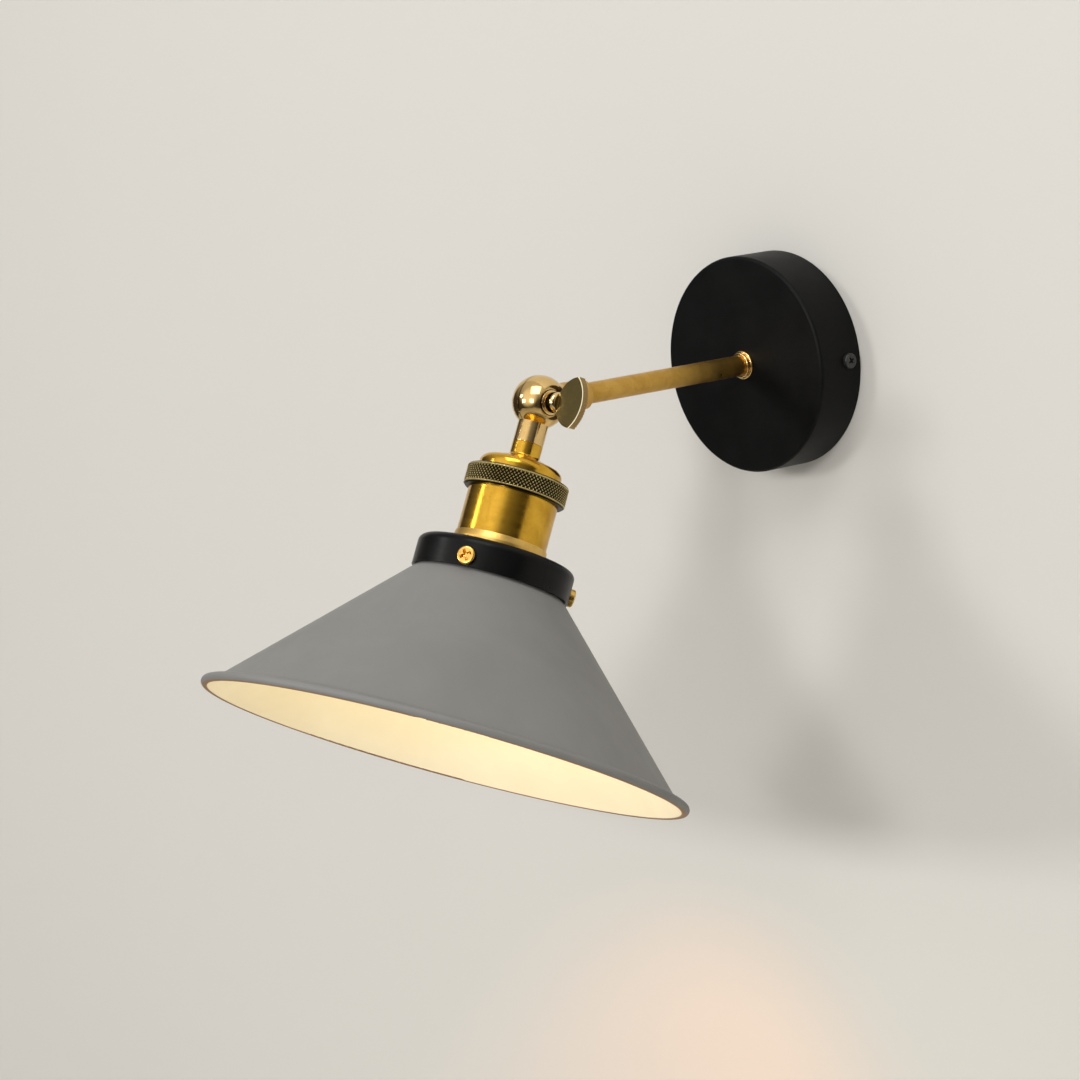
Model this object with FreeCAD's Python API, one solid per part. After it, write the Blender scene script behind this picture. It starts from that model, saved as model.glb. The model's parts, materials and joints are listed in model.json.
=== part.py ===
# Bedside wall reading lamp: a round wall cup, a straight brass arm, a ball knuckle clamped by a
# flat thumb key, an E27 lampholder with a knurled collar, a three-screw shade gallery and a wide
# conical shade with a rolled rim, with the bulb in it.
# Millimetres, +Z up. The origin is on the wall at the centre of the cup, and the arm points to -Y.
# Every turned piece is drawn as a half section: a radius, and a station along the piece's own axis.
import FreeCAD, Part
import math
import os

Vector = FreeCAD.Vector

# --- driving sizes: wall cup and bracket ---
CANOPY_DIAMETER = 100.0
CANOPY_DEPTH = 25.0
CANOPY_WALL = 1.2
CANOPY_EDGE_RADIUS = 1.4
STRAP_WIDTH = 16.0
STRAP_THICKNESS = 1.5
STRAP_RISE = 4.0
STRAP_RAISED_HALF = 21.0
STRAP_JOGGLE = 2.5
STRAP_TAB_HEIGHT = 13.0
STRAP_TO_CANOPY = 1.0
SLOT_SPACING = 68.0
SLOT_WIDTH = 4.5
SLOT_LENGTH = 12.0
SIDE_SCREW_STATION = 7.5
SIDE_SCREW_DIAMETER = 4.0
SIDE_SCREW_HEAD = 7.0
SIDE_SCREW_HEAD_HEIGHT = 2.0
EARTH_SCREW_DIAMETER = 4.0
EARTH_SCREW_HEAD = 7.0
EARTH_SCREW_HEAD_HEIGHT = 2.2
EARTH_SCREW_OFFSET = 13.0
EARTH_SCREW_TIP = 1.6
BLOCK_WIDTH = 15.0
BLOCK_HEIGHT = 18.0
BLOCK_DEPTH = 11.0
BLOCK_OFFSET = 12.5
BLOCK_POLES = 3
BLOCK_WIRE_HOLE = 3.0
BLOCK_SCREW_DIAMETER = 3.2
BLOCK_SCREW_RECESS = 1.5
BLOCK_SCREW_LENGTH = 4.0

# --- driving sizes: arm ---
REACH = 150.0
TUBE_DIAMETER = 9.5
TUBE_WALL = 1.0
TUBE_FIT = 0.05
TUBE_INSIDE = 9.0
COLLAR_FLANGE_DIAMETER = 13.2
COLLAR_FLANGE_HEIGHT = 1.5
COLLAR_STEP_DIAMETER = 11.6
COLLAR_STEP_HEIGHT = 1.6
COLLAR_EDGE_RADIUS = 0.5
NUT_ACROSS_FLATS = 14.0
NUT_HEIGHT = 3.0
STAR_WASHER_DIAMETER = 17.0
STAR_WASHER_THICKNESS = 1.0
STAR_WASHER_TEETH = 12
STAR_TOOTH_DEPTH = 1.6

# --- driving sizes: ball knuckle and thumb key ---
BALL_DIAMETER = 24.0
HALF_GAP = 0.1
STEM_WALL = 1.95
STEM_CLEARANCE = 0.3
STEM_EDGE_RADIUS = 0.5
ARM_STEM_LENGTH = 26.0
ARM_SOCKET_DEPTH = 10.0
HEAD_STEM_LENGTH = 19.6
HEAD_SOCKET_DEPTH = 7.0
WIRE_BORE_DIAMETER = 5.6
WIRE_GROOVE_INNER = 4.4
WIRE_GROOVE_OUTER = 8.2
WIRE_GROOVE_DEPTH = 3.0
RECESS_DIAMETER = 15.2
RECESS_FLOOR = 6.2
KEY_SCREW_DIAMETER = 5.0
KEY_SCREW_FIT = 0.05
KEY_SCREW_CLEARANCE = 0.2
KEY_SCREW_DEPTH = 8.5
KEY_SCREW_END_GAP = 0.6
KEY_WASHER_DIAMETER = 12.8
KEY_WASHER_THICKNESS = 0.8
KEY_FLANGE_DIAMETER = 11.6
KEY_FLANGE_HEIGHT = 1.6
KEY_HUB_DIAMETER = 9.4
KEY_HUB_LENGTH = 5.5
KEY_PLATE_THICKNESS = 2.5
KEY_PLATE_HEIGHT = 22.7
KEY_PLATE_INNER_BULGE = 12.2
KEY_PLATE_OUTER_BULGE = 5.0
KEY_PLATE_OVERLAP = 1.0
KEY_PLATE_LEAN = 22.8
KEY_NOTCHES = 19
KEY_NOTCH_DIAMETER = 0.9
KEY_NOTCH_REACH = 0.92
HEAD_TILT = 27.0

# --- driving sizes: lampholder ---
NIPPLE_WALL = 1.1
NIPPLE_SHOULDER = 1.0
NECK_LENGTH = 5.8
NECK_FILLET = 0.8
DOME_SLOPE_RADIUS = 14.4
DOME_SLOPE_DROP = 2.7
DOME_SHOULDER_DROP = 6.6
DOME_SHOULDER_BULGE = 0.9
CAP_WALL = 1.3
CAP_RIM_HEIGHT = 2.2
CAP_FLANGE_HEIGHT = 1.2
HOLDER_DIAMETER = 40.0
HOLDER_WALL = 1.2
HOLDER_BELOW_COLLAR = 20.4
HOLDER_FIT = 0.12
KNURL_DIAMETER = 45.6
KNURL_HEIGHT = 11.6
KNURL_LIP = 2.0
KNURL_SHOULDER = 2.6
KNURL_SHOULDER_RADIUS = 1.6
KNURL_LOWER_CHAMFER = 1.2
UPPER_RING_HEIGHT = 5.6
UPPER_RING_WALL = 0.8
UPPER_RING_START = 0.35
UPPER_RING_FLARE = 2.6
LOWER_RING_HEIGHT = 4.0
LOWER_RING_WALL = 5.0
LOWER_RING_NOTCHES = 6
LOWER_RING_NOTCH = 3.0
SKIRT_BELOW_RING = 4.6
CORE_BASE_STATION = 41.0
CORE_BASE_HEIGHT = 8.5
CORE_CLEARANCE = 0.3
CORE_LINER_WALL = 3.2
CORE_FOOT = 1.2
SHELL_WALL = 0.6
SHELL_FIT = 0.2
SHELL_LENGTH = 24.0
CONTACT_WIDTH = 5.0
CONTACT_THICKNESS = 0.5
CONTACT_LENGTH = 14.0
CONTACT_GAP = 0.25

# --- driving sizes: gallery and shade ---
GALLERY_DIAMETER = 70.0
GALLERY_HEIGHT = 13.8
GALLERY_WALL = 1.6
GALLERY_EDGE_RADIUS = 3.2
GALLERY_SCREWS = 3
GALLERY_SCREW_FIRST = 60.0
GALLERY_SCREW_STATION = 9.4
GALLERY_SCREW_DIAMETER = 4.0
GALLERY_SCREW_HEAD = 8.0
GALLERY_SCREW_HEAD_HEIGHT = 2.4
SCREW_DOME = 0.8
SCREW_FIT = 0.05
SCREW_TIP_GAP = 0.2
SHADE_DIAMETER = 217.0
SHADE_HEIGHT = 85.0
SHADE_WALL = 0.9
SHADE_NECK_DIAMETER = 62.0
SHADE_NECK_HEIGHT = 7.4
SHADE_LIP = 1.7
SHADE_LIP_HEIGHT = 1.0
SHADE_BEAD_DIAMETER = 4.0
SHADE_TOP_CLEARANCE = 2.6

# --- driving sizes: bulb ---
BULB_CAP_DIAMETER = 26.1
BULB_CAP_LENGTH = 20.0
BULB_GLOBE_DIAMETER = 45.0
BULB_LENGTH = 78.0
BULB_TIP_DIAMETER = 9.0
BULB_TIP_HEIGHT = 2.0
BULB_INSULATOR_HEIGHT = 4.0
BULB_CAP_EDGE_RADIUS = 1.0
BULB_COLLAR_LENGTH = 13.0
BULB_COLLAR_DIAMETER = 34.0
BULB_GLOBE_WALL = 1.0
BULB_CAP_WALL = 0.5
BULB_INSULATOR_WALL = 2.0
BULB_THREAD_PLAY = 0.35

# --- derived sizes ---
canopy_radius = CANOPY_DIAMETER / 2
canopy_inner = canopy_radius - CANOPY_WALL
canopy_front = CANOPY_DEPTH - CANOPY_WALL
tube_radius = TUBE_DIAMETER / 2
socket_radius = tube_radius + TUBE_FIT
stem_radius = socket_radius + STEM_WALL
tube_start = canopy_front - TUBE_INSIDE
tube_end = REACH - ARM_STEM_LENGTH + ARM_SOCKET_DEPTH
ball_radius = BALL_DIAMETER / 2
key_seat = RECESS_FLOOR + KEY_WASHER_THICKNESS
nipple_start = HEAD_STEM_LENGTH - HEAD_SOCKET_DEPTH
neck_end = HEAD_STEM_LENGTH + NECK_LENGTH
dome_end = neck_end + DOME_SHOULDER_DROP
flange_top = dome_end + KNURL_LIP
holder_radius = HOLDER_DIAMETER / 2
holder_inner = holder_radius - HOLDER_WALL
cap_radius = holder_inner - CORE_CLEARANCE
holder_top = flange_top + CAP_FLANGE_HEIGHT
knurl_radius = KNURL_DIAMETER / 2
knurl_end = dome_end + KNURL_HEIGHT
ring_bore = holder_radius + HOLDER_FIT
ring_start = knurl_end + HOLDER_BELOW_COLLAR
gallery_top = ring_start + UPPER_RING_HEIGHT
gallery_radius = GALLERY_DIAMETER / 2
gallery_under = gallery_top + GALLERY_WALL
lower_ring_end = gallery_under + LOWER_RING_HEIGHT
holder_end = lower_ring_end + SKIRT_BELOW_RING
gallery_screw_station = gallery_top + GALLERY_SCREW_STATION
shade_top = gallery_under + SHADE_TOP_CLEARANCE
shade_mouth = shade_top + SHADE_HEIGHT
neck_radius = SHADE_NECK_DIAMETER / 2
bulb_cap_radius = BULB_CAP_DIAMETER / 2
shell_inner = bulb_cap_radius + BULB_THREAD_PLAY
shell_outer = shell_inner + SHELL_WALL
core_outer = holder_inner - CORE_CLEARANCE
core_base_end = CORE_BASE_STATION + CORE_BASE_HEIGHT
bulb_base = core_base_end + CONTACT_THICKNESS + CONTACT_GAP + CONTACT_THICKNESS + CONTACT_GAP
bulb_cap_start = bulb_base + BULB_TIP_HEIGHT + BULB_INSULATOR_HEIGHT
bulb_cap_end = bulb_cap_start + BULB_CAP_LENGTH
bulb_collar_end = bulb_cap_end + BULB_COLLAR_LENGTH
globe_radius = BULB_GLOBE_DIAMETER / 2
globe_centre = bulb_base + BULB_LENGTH - globe_radius

X_AXIS = Vector(1, 0, 0)
Y_AXIS = Vector(0, 1, 0)
Z_AXIS = Vector(0, 0, 1)
ORIGIN = Vector(0, 0, 0)
BALL_CENTRE = Vector(0, -REACH, 0)
FULL_TURN = 360.0


# --- drawing helpers ---
def rounded_corner(before, corner, after, radius):
    """The two tangent points and the middle of the arc that rounds a corner."""
    back = (before - corner).normalize()
    ahead = (after - corner).normalize()
    half = back.getAngle(ahead) / 2
    reach = radius / math.tan(half)
    middle = (back + ahead).normalize() * (radius / math.sin(half) - radius)
    return corner + back * reach, corner + middle, corner + ahead * reach


def closed_face(corners, lift):
    """A face inside a closed outline. A corner is (a, b), or (a, b, radius) where it is rounded.
    A pair of points [through, end] is an arc to its end."""
    edges = []
    flat = [item[1] if isinstance(item, list) else item for item in corners]
    spots = [lift(point[0], point[1]) for point in flat]
    count = len(spots)
    starts, ends = [], []
    for index, point in enumerate(flat):
        if len(point) == 3:
            around = rounded_corner(spots[index - 1], spots[index], spots[(index + 1) % count], point[2])
            edges.append(Part.Arc(*around).toShape())
            starts.append(around[0])
            ends.append(around[2])
        else:
            starts.append(spots[index])
            ends.append(spots[index])
    for index, item in enumerate(corners):
        here, there = ends[index - 1], starts[index]
        if isinstance(item, list):
            through = lift(item[0][0], item[0][1])
            edges.append(Part.Arc(here, through, there).toShape())
        elif here.distanceToPoint(there) > 1e-7:
            edges.append(Part.LineSegment(here, there).toShape())
    wire = Part.Wire(Part.__sortEdges__(edges))
    return Part.Face(wire)


def turned(*corners):
    """A solid turned about +Z from its half section of (radius, station) corners."""
    face = closed_face(corners, lambda radius, station: Vector(radius, 0, station))
    return face.revolve(ORIGIN, Z_AXIS, FULL_TURN)


def plate(thickness, *corners):
    """A flat plate drawn in the XY plane and raised along +Z."""
    face = closed_face(corners, lambda x, y: Vector(x, y, 0))
    return face.extrude(Z_AXIS * thickness)


def tube(outer, inner, start, end):
    """A plain tube along +Z."""
    return turned((inner, start), (outer, start), (outer, end), (inner, end))


def rod(radius, start, end):
    """A plain rod along +Z."""
    return Part.makeCylinder(radius, end - start, Z_AXIS * start)


def block(low, high):
    """A box between two opposite corners."""
    size = Vector(*high) - Vector(*low)
    return Part.makeBox(size.x, size.y, size.z, Vector(*low))


def around_axis(shape, count, first=0.0):
    """Copies of a shape spaced evenly about +Z."""
    copies = []
    for index in range(count):
        copy = shape.copy()
        copy.rotate(ORIGIN, Z_AXIS, first + FULL_TURN * index / count)
        copies.append(copy)
    return copies


def pan_head_screw(shank_radius, head_radius, head_height, length):
    """A pan-head screw along +Z: the head starts at station 0 and the shank hangs below it."""
    return turned(
        (0, -length),
        (shank_radius, -length),
        (shank_radius, 0),
        (head_radius, 0),
        (head_radius, head_height, min(SCREW_DOME, head_height / 2)),
        (0, head_height),
    )


def on_wall(shape):
    """Stands a shape drawn along +Z on the wall, so that its stations run out along -Y."""
    placed = shape.copy()
    placed.rotate(ORIGIN, X_AXIS, 90)
    return placed


def across(shape):
    """Turns a shape drawn along +Z so that its stations run along +X, with its own X along +Z."""
    placed = shape.copy()
    placed.rotate(ORIGIN, Y_AXIS, 90)
    return placed


def at_ball(shape):
    """Moves a shape drawn about the ball's centre to the ball."""
    placed = shape.copy()
    placed.translate(BALL_CENTRE)
    return placed


def on_head(shape):
    """Places a shape drawn along the head's axis: its stations run from the ball to the mouth."""
    placed = shape.copy()
    placed.rotate(ORIGIN, X_AXIS, 180 - HEAD_TILT)
    return at_ball(placed)


# --- wall bracket, screws and connector ---
def strap_end():
    """Where the strap's tabs stop, just inside the cup's wall at the tabs' corners."""
    return math.sqrt(canopy_inner ** 2 - (STRAP_WIDTH / 2) ** 2) - STRAP_TO_CANOPY


def slot_cutter():
    """A round-ended slot through the strap's foot, along +X."""
    half = (SLOT_LENGTH - SLOT_WIDTH) / 2
    radius = SLOT_WIDTH / 2
    return plate(
        2 * STRAP_THICKNESS,
        (-half, -radius),
        (half, -radius),
        [(half + radius, 0), (half, radius)],
        (-half, radius),
        [(-half - radius, 0), (-half, -radius)],
    )


def make_wall_bracket():
    """A joggled steel strap whose feet lie on the wall and whose end tabs take the side screws."""
    end = strap_end()
    thick = STRAP_THICKNESS
    raised = STRAP_RAISED_HALF
    foot = raised + STRAP_JOGGLE
    right = [
        (foot, 0),
        (end, 0),
        (end, STRAP_TAB_HEIGHT),
        (end - thick, STRAP_TAB_HEIGHT),
        (end - thick, thick),
        (foot, thick),
        (raised, STRAP_RISE + thick),
    ]
    under = [(raised, STRAP_RISE)]
    left = [(-x, station) for x, station in reversed(right)]
    outline = right + left + [(-raised, STRAP_RISE)] + under
    face = closed_face(outline, lambda x, station: Vector(x, -STRAP_WIDTH / 2, station))
    strap = face.extrude(Y_AXIS * STRAP_WIDTH)
    for side in (-1, 1):
        cutter = slot_cutter()
        cutter.translate(Vector(side * SLOT_SPACING / 2, 0, -thick / 2))
        strap = strap.cut(cutter)
    reach = end + thick
    hole = across(rod(SIDE_SCREW_DIAMETER / 2 + SCREW_FIT, -reach, reach))
    hole.translate(Z_AXIS * SIDE_SCREW_STATION)
    earth = rod(EARTH_SCREW_DIAMETER / 2 + SCREW_FIT, STRAP_RISE - thick, STRAP_RISE + 2 * thick)
    earth.translate(X_AXIS * -EARTH_SCREW_OFFSET)
    return on_wall(strap.cut(hole).cut(earth))


def make_earth_screw():
    """The brass earth screw on the strap's raised middle."""
    seat = STRAP_RISE + STRAP_THICKNESS
    screw = pan_head_screw(
        EARTH_SCREW_DIAMETER / 2,
        EARTH_SCREW_HEAD / 2,
        EARTH_SCREW_HEAD_HEIGHT,
        seat - EARTH_SCREW_TIP,
    )
    screw.translate(Vector(-EARTH_SCREW_OFFSET, 0, seat))
    return on_wall(screw)


def block_poles():
    """The heights of the connector's poles."""
    pitch = BLOCK_HEIGHT / BLOCK_POLES
    return [pitch * (index - (BLOCK_POLES - 1) / 2) for index in range(BLOCK_POLES)]


def make_terminal_block():
    """The connector: one wire hole through each pole and a clamp-screw well over it."""
    base = STRAP_RISE + STRAP_THICKNESS
    top = base + BLOCK_DEPTH
    left = BLOCK_OFFSET - BLOCK_WIDTH / 2
    right = BLOCK_OFFSET + BLOCK_WIDTH / 2
    body = block((left, -BLOCK_HEIGHT / 2, base), (right, BLOCK_HEIGHT / 2, top))
    for height in block_poles():
        wire = across(rod(BLOCK_WIRE_HOLE / 2, left - 1, right + 1))
        wire.translate(Vector(0, height, base + BLOCK_DEPTH / 3))
        well = rod(BLOCK_SCREW_DIAMETER / 2 + SCREW_FIT, base + BLOCK_DEPTH / 3, top + 1)
        well.translate(Vector(BLOCK_OFFSET, height, 0))
        body = body.cut(wire).cut(well)
    return on_wall(body)


def make_terminal_screws():
    """The clamp screws, sunk in their wells."""
    top = STRAP_RISE + STRAP_THICKNESS + BLOCK_DEPTH - BLOCK_SCREW_RECESS
    screws = []
    for height in block_poles():
        screw = rod(BLOCK_SCREW_DIAMETER / 2, top - BLOCK_SCREW_LENGTH, top)
        screw.translate(Vector(BLOCK_OFFSET, height, 0))
        screws.append(on_wall(screw))
    return Part.makeCompound(screws)


# --- wall cup ---
def make_canopy():
    """The pressed wall cup, open to the wall, with a hole for the arm and one for each side screw."""
    cup = turned(
        (socket_radius, canopy_front),
        (canopy_inner, canopy_front),
        (canopy_inner, 0),
        (canopy_radius, 0),
        (canopy_radius, CANOPY_DEPTH, CANOPY_EDGE_RADIUS),
        (socket_radius, CANOPY_DEPTH),
    )
    reach = canopy_radius + CANOPY_WALL
    holes = across(rod(SIDE_SCREW_DIAMETER / 2 + STEM_CLEARANCE, -reach, reach))
    holes.translate(Z_AXIS * SIDE_SCREW_STATION)
    return on_wall(cup.cut(holes))


def make_canopy_screws():
    """The two black side screws that hold the cup to the strap's tabs."""
    length = canopy_radius - strap_end() + 2 * STRAP_THICKNESS
    screw = pan_head_screw(
        SIDE_SCREW_DIAMETER / 2,
        SIDE_SCREW_HEAD / 2,
        SIDE_SCREW_HEAD_HEIGHT,
        length,
    )
    screw.translate(Z_AXIS * canopy_radius)
    right = across(screw)
    left = right.copy()
    left.rotate(ORIGIN, Z_AXIS, 180)
    pair = Part.makeCompound([right, left])
    pair.translate(Z_AXIS * SIDE_SCREW_STATION)
    return on_wall(pair)


# --- arm ---
def make_arm_collar():
    """The stepped collar that covers the arm's hole in the cup."""
    flange = CANOPY_DEPTH + COLLAR_FLANGE_HEIGHT
    return on_wall(turned(
        (socket_radius, CANOPY_DEPTH),
        (COLLAR_FLANGE_DIAMETER / 2, CANOPY_DEPTH),
        (COLLAR_FLANGE_DIAMETER / 2, flange, COLLAR_EDGE_RADIUS),
        (COLLAR_STEP_DIAMETER / 2, flange),
        (COLLAR_STEP_DIAMETER / 2, flange + COLLAR_STEP_HEIGHT, COLLAR_EDGE_RADIUS),
        (socket_radius, flange + COLLAR_STEP_HEIGHT),
    ))


def make_arm_tube():
    """The straight brass arm, from inside the cup to its seat in the knuckle."""
    return on_wall(tube(tube_radius, tube_radius - TUBE_WALL, tube_start, tube_end))


def make_lock_washer():
    """The toothed washer between the nut and the cup."""
    outer = STAR_WASHER_DIAMETER / 2
    start = canopy_front - STAR_WASHER_THICKNESS
    washer = tube(outer, socket_radius, start, canopy_front)
    pitch = FULL_TURN / STAR_WASHER_TEETH
    notch_radius = math.radians(pitch) * outer / 4
    notch = rod(notch_radius, start - 1, canopy_front + 1)
    notch.translate(X_AXIS * (outer - STAR_TOOTH_DEPTH + notch_radius))
    return on_wall(washer.cut(around_axis(notch, STAR_WASHER_TEETH)))


def make_arm_lock_nut():
    """The hexagon nut that pulls the arm tight against the cup."""
    start = canopy_front - STAR_WASHER_THICKNESS - NUT_HEIGHT
    corner = NUT_ACROSS_FLATS / math.sqrt(3)
    corners = [
        (corner * math.cos(math.radians(60 * side)), corner * math.sin(math.radians(60 * side)))
        for side in range(6)
    ]
    nut = plate(NUT_HEIGHT, *corners)
    nut.translate(Z_AXIS * start)
    return on_wall(nut.cut(rod(socket_radius, start - 1, start + NUT_HEIGHT + 1)))


# --- ball knuckle ---
def half_space(side, inner):
    """A block on one side (-1 or 1) of the knuckle's parting plane, starting at x = inner."""
    reach = ball_radius + ARM_STEM_LENGTH + HEAD_STEM_LENGTH
    if side < 0:
        return block((-reach, -reach, -reach), (inner, reach, reach))
    return block((inner, -reach, -reach), (reach, reach, reach))


def wire_groove(side):
    """The ring-shaped wire chamber in a half-ball's flat face."""
    start = HALF_GAP / 2 if side > 0 else -WIRE_GROOVE_DEPTH
    end = WIRE_GROOVE_DEPTH if side > 0 else -HALF_GAP / 2
    return across(tube(WIRE_GROOVE_OUTER, WIRE_GROOVE_INNER, start, end))


def half_knuckle(side, stem_length, socket_depth):
    """Half a ball on the given side of the parting plane with a whole round stem along +Z.
    Beyond the parting plane the stem stands clear of the other half."""
    half_ball = Part.makeSphere(ball_radius).common(half_space(side, side * HALF_GAP / 2))
    stem = turned(
        (0, 0),
        (stem_radius, 0),
        (stem_radius, stem_length, STEM_EDGE_RADIUS),
        (0, stem_length),
    )
    clear = Part.makeSphere(ball_radius + STEM_CLEARANCE)
    stem = stem.cut(clear.common(half_space(-side, side * HALF_GAP / 2)))
    body = half_ball.fuse(stem).removeSplitter()
    socket = rod(socket_radius, stem_length - socket_depth, stem_length + 1)
    wire = rod(WIRE_BORE_DIAMETER / 2, WIRE_GROOVE_INNER + 1, stem_length)
    return body.cut(wire_groove(side)).cut(socket).cut(wire)


def make_knuckle_arm_half():
    """The fixed half: its stem takes the arm's tube, and the key screws into it."""
    half = half_knuckle(-1, ARM_STEM_LENGTH, ARM_SOCKET_DEPTH)
    depth = KEY_SCREW_DEPTH + KEY_SCREW_END_GAP
    thread = across(rod(KEY_SCREW_DIAMETER / 2, -depth, 0))
    half = half.cut(thread)
    half.rotate(ORIGIN, X_AXIS, -90)
    return at_ball(half)


def make_knuckle_head_half():
    """The moving half: its stem carries the lampholder, and the key sits in its round recess."""
    half = half_knuckle(1, HEAD_STEM_LENGTH, HEAD_SOCKET_DEPTH)
    recess = across(rod(RECESS_DIAMETER / 2, RECESS_FLOOR, ball_radius + 1))
    hole = across(rod(KEY_SCREW_DIAMETER / 2 + KEY_SCREW_CLEARANCE, 0, ball_radius))
    return on_head(half.cut(recess).cut(hole))


def make_thumb_washer():
    """The flat washer under the thumb key."""
    bore = KEY_SCREW_DIAMETER / 2 + KEY_SCREW_CLEARANCE
    return at_ball(across(tube(KEY_WASHER_DIAMETER / 2, bore, RECESS_FLOOR, key_seat)))


def key_plate(hub_end):
    """The key's flat half-moon plate, serrated along its outer edge, lying in the XY plane."""
    half = KEY_PLATE_HEIGHT / 2
    inner = hub_end - KEY_PLATE_OVERLAP
    tips = inner + KEY_PLATE_INNER_BULGE
    outer = tips + KEY_PLATE_OUTER_BULGE
    face = plate(
        KEY_PLATE_THICKNESS,
        (tips, -half),
        [(outer, 0), (tips, half)],
        [(inner, 0), (tips, -half)],
    )
    edge_radius = (half ** 2 + KEY_PLATE_OUTER_BULGE ** 2) / (2 * KEY_PLATE_OUTER_BULGE)
    centre = outer - edge_radius
    sweep = 2 * math.degrees(math.asin(half / edge_radius)) * KEY_NOTCH_REACH
    notches = []
    for index in range(KEY_NOTCHES):
        notch = rod(KEY_NOTCH_DIAMETER / 2, -1, KEY_PLATE_THICKNESS + 1)
        notch.translate(X_AXIS * (edge_radius + KEY_NOTCH_DIAMETER / 6))
        notch.rotate(ORIGIN, Z_AXIS, sweep * (index / (KEY_NOTCHES - 1) - 0.5))
        notch.translate(X_AXIS * centre)
        notches.append(notch)
    face = face.cut(notches)
    face.translate(Z_AXIS * (-KEY_PLATE_THICKNESS / 2))
    return face


def make_thumb_screw():
    """The clamping screw with its flanged hub and flat thumb plate, in one piece."""
    screw_radius = KEY_SCREW_DIAMETER / 2 - KEY_SCREW_FIT
    flange_end = key_seat + KEY_FLANGE_HEIGHT
    hub_end = flange_end + KEY_HUB_LENGTH
    hub_radius = KEY_HUB_DIAMETER / 2
    shaft = across(turned(
        (0, -KEY_SCREW_DEPTH),
        (screw_radius, -KEY_SCREW_DEPTH),
        (screw_radius, key_seat),
        (KEY_FLANGE_DIAMETER / 2, key_seat),
        (KEY_FLANGE_DIAMETER / 2, flange_end, KEY_FLANGE_HEIGHT / 2),
        (hub_radius, flange_end),
        (hub_radius, hub_end, KEY_HUB_LENGTH / 3),
        (0, hub_end),
    ))
    wing = key_plate(hub_end)
    wing.rotate(ORIGIN, X_AXIS, 90 - KEY_PLATE_LEAN)
    return at_ball(shaft.fuse(wing).removeSplitter())


# --- lampholder ---
def make_head_nipple():
    """The hollow threaded nipple that joins the knuckle's stem to the lampholder."""
    end = neck_end + CAP_WALL
    return on_head(tube(tube_radius, tube_radius - NIPPLE_WALL, nipple_start, end))


def make_holder_cap():
    """The lampholder's neck and domed top, a thin shell with a flange under the collar's lip."""
    inner = cap_radius - CAP_WALL
    slope_end = (DOME_SLOPE_RADIUS, neck_end + DOME_SLOPE_DROP)
    middle = (
        (DOME_SLOPE_RADIUS + cap_radius) / 2 + DOME_SHOULDER_BULGE,
        neck_end + (DOME_SLOPE_DROP + DOME_SHOULDER_DROP) / 2 - DOME_SHOULDER_BULGE,
    )
    cap = turned(
        (socket_radius, HEAD_STEM_LENGTH),
        (stem_radius, HEAD_STEM_LENGTH),
        (stem_radius, neck_end, NECK_FILLET),
        slope_end,
        [middle, (cap_radius, dome_end)],
        (cap_radius, flange_top),
        (holder_radius, flange_top),
        (holder_radius, holder_top),
        (inner, holder_top),
        (inner, dome_end),
        [(middle[0] - CAP_WALL, middle[1] + CAP_WALL / 2), (slope_end[0], slope_end[1] + CAP_WALL)],
        (stem_radius, neck_end + CAP_WALL),
        (socket_radius, neck_end + CAP_WALL),
    )
    return on_head(cap)


def make_knurled_collar():
    """The ring that clamps the cap to the body: sloped shoulder, knurled band, small chamfer."""
    lip_bore = cap_radius + HOLDER_FIT
    return on_head(turned(
        (lip_bore, dome_end),
        (knurl_radius - KNURL_SHOULDER, dome_end + HOLDER_WALL / 2),
        (knurl_radius, dome_end + KNURL_SHOULDER, KNURL_SHOULDER_RADIUS),
        (knurl_radius, knurl_end - KNURL_LOWER_CHAMFER),
        (knurl_radius - KNURL_LOWER_CHAMFER, knurl_end),
        (ring_bore, knurl_end),
        (ring_bore, flange_top),
        (lip_bore, flange_top),
    ))


def make_holder_body():
    """The lampholder's brass skirt, which also carries the gallery between its two rings."""
    return on_head(tube(holder_radius, holder_inner, holder_top, holder_end))


def make_upper_shade_ring():
    """The flared ring above the gallery."""
    outer = ring_bore + UPPER_RING_WALL
    return on_head(turned(
        (ring_bore, ring_start),
        (ring_bore + UPPER_RING_START, ring_start),
        (outer, ring_start + UPPER_RING_FLARE),
        (outer, gallery_top),
        (ring_bore, gallery_top),
    ))


def make_lower_shade_ring():
    """The notched ring that holds the gallery up from inside."""
    outer = ring_bore + LOWER_RING_WALL
    ring = tube(outer, ring_bore, gallery_under, lower_ring_end)
    notch = block(
        (outer - LOWER_RING_WALL / 2, -LOWER_RING_NOTCH / 2, gallery_under + LOWER_RING_HEIGHT / 2),
        (outer + 1, LOWER_RING_NOTCH / 2, lower_ring_end + 1),
    )
    return on_head(ring.cut(around_axis(notch, LOWER_RING_NOTCHES)))


def make_holder_core():
    """The insulating core: a closed base and a liner round the thread shell."""
    liner_inner = shell_outer + SHELL_FIT
    end = holder_end - CORE_FOOT
    return on_head(turned(
        (0, CORE_BASE_STATION),
        (core_outer, CORE_BASE_STATION),
        (core_outer, end),
        (liner_inner, end),
        (liner_inner, core_base_end),
        (0, core_base_end),
    ))


def make_thread_shell():
    """The brass thread sleeve that takes the bulb's cap, open at both ends."""
    return on_head(tube(shell_outer, shell_inner, core_base_end, core_base_end + SHELL_LENGTH))


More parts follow.
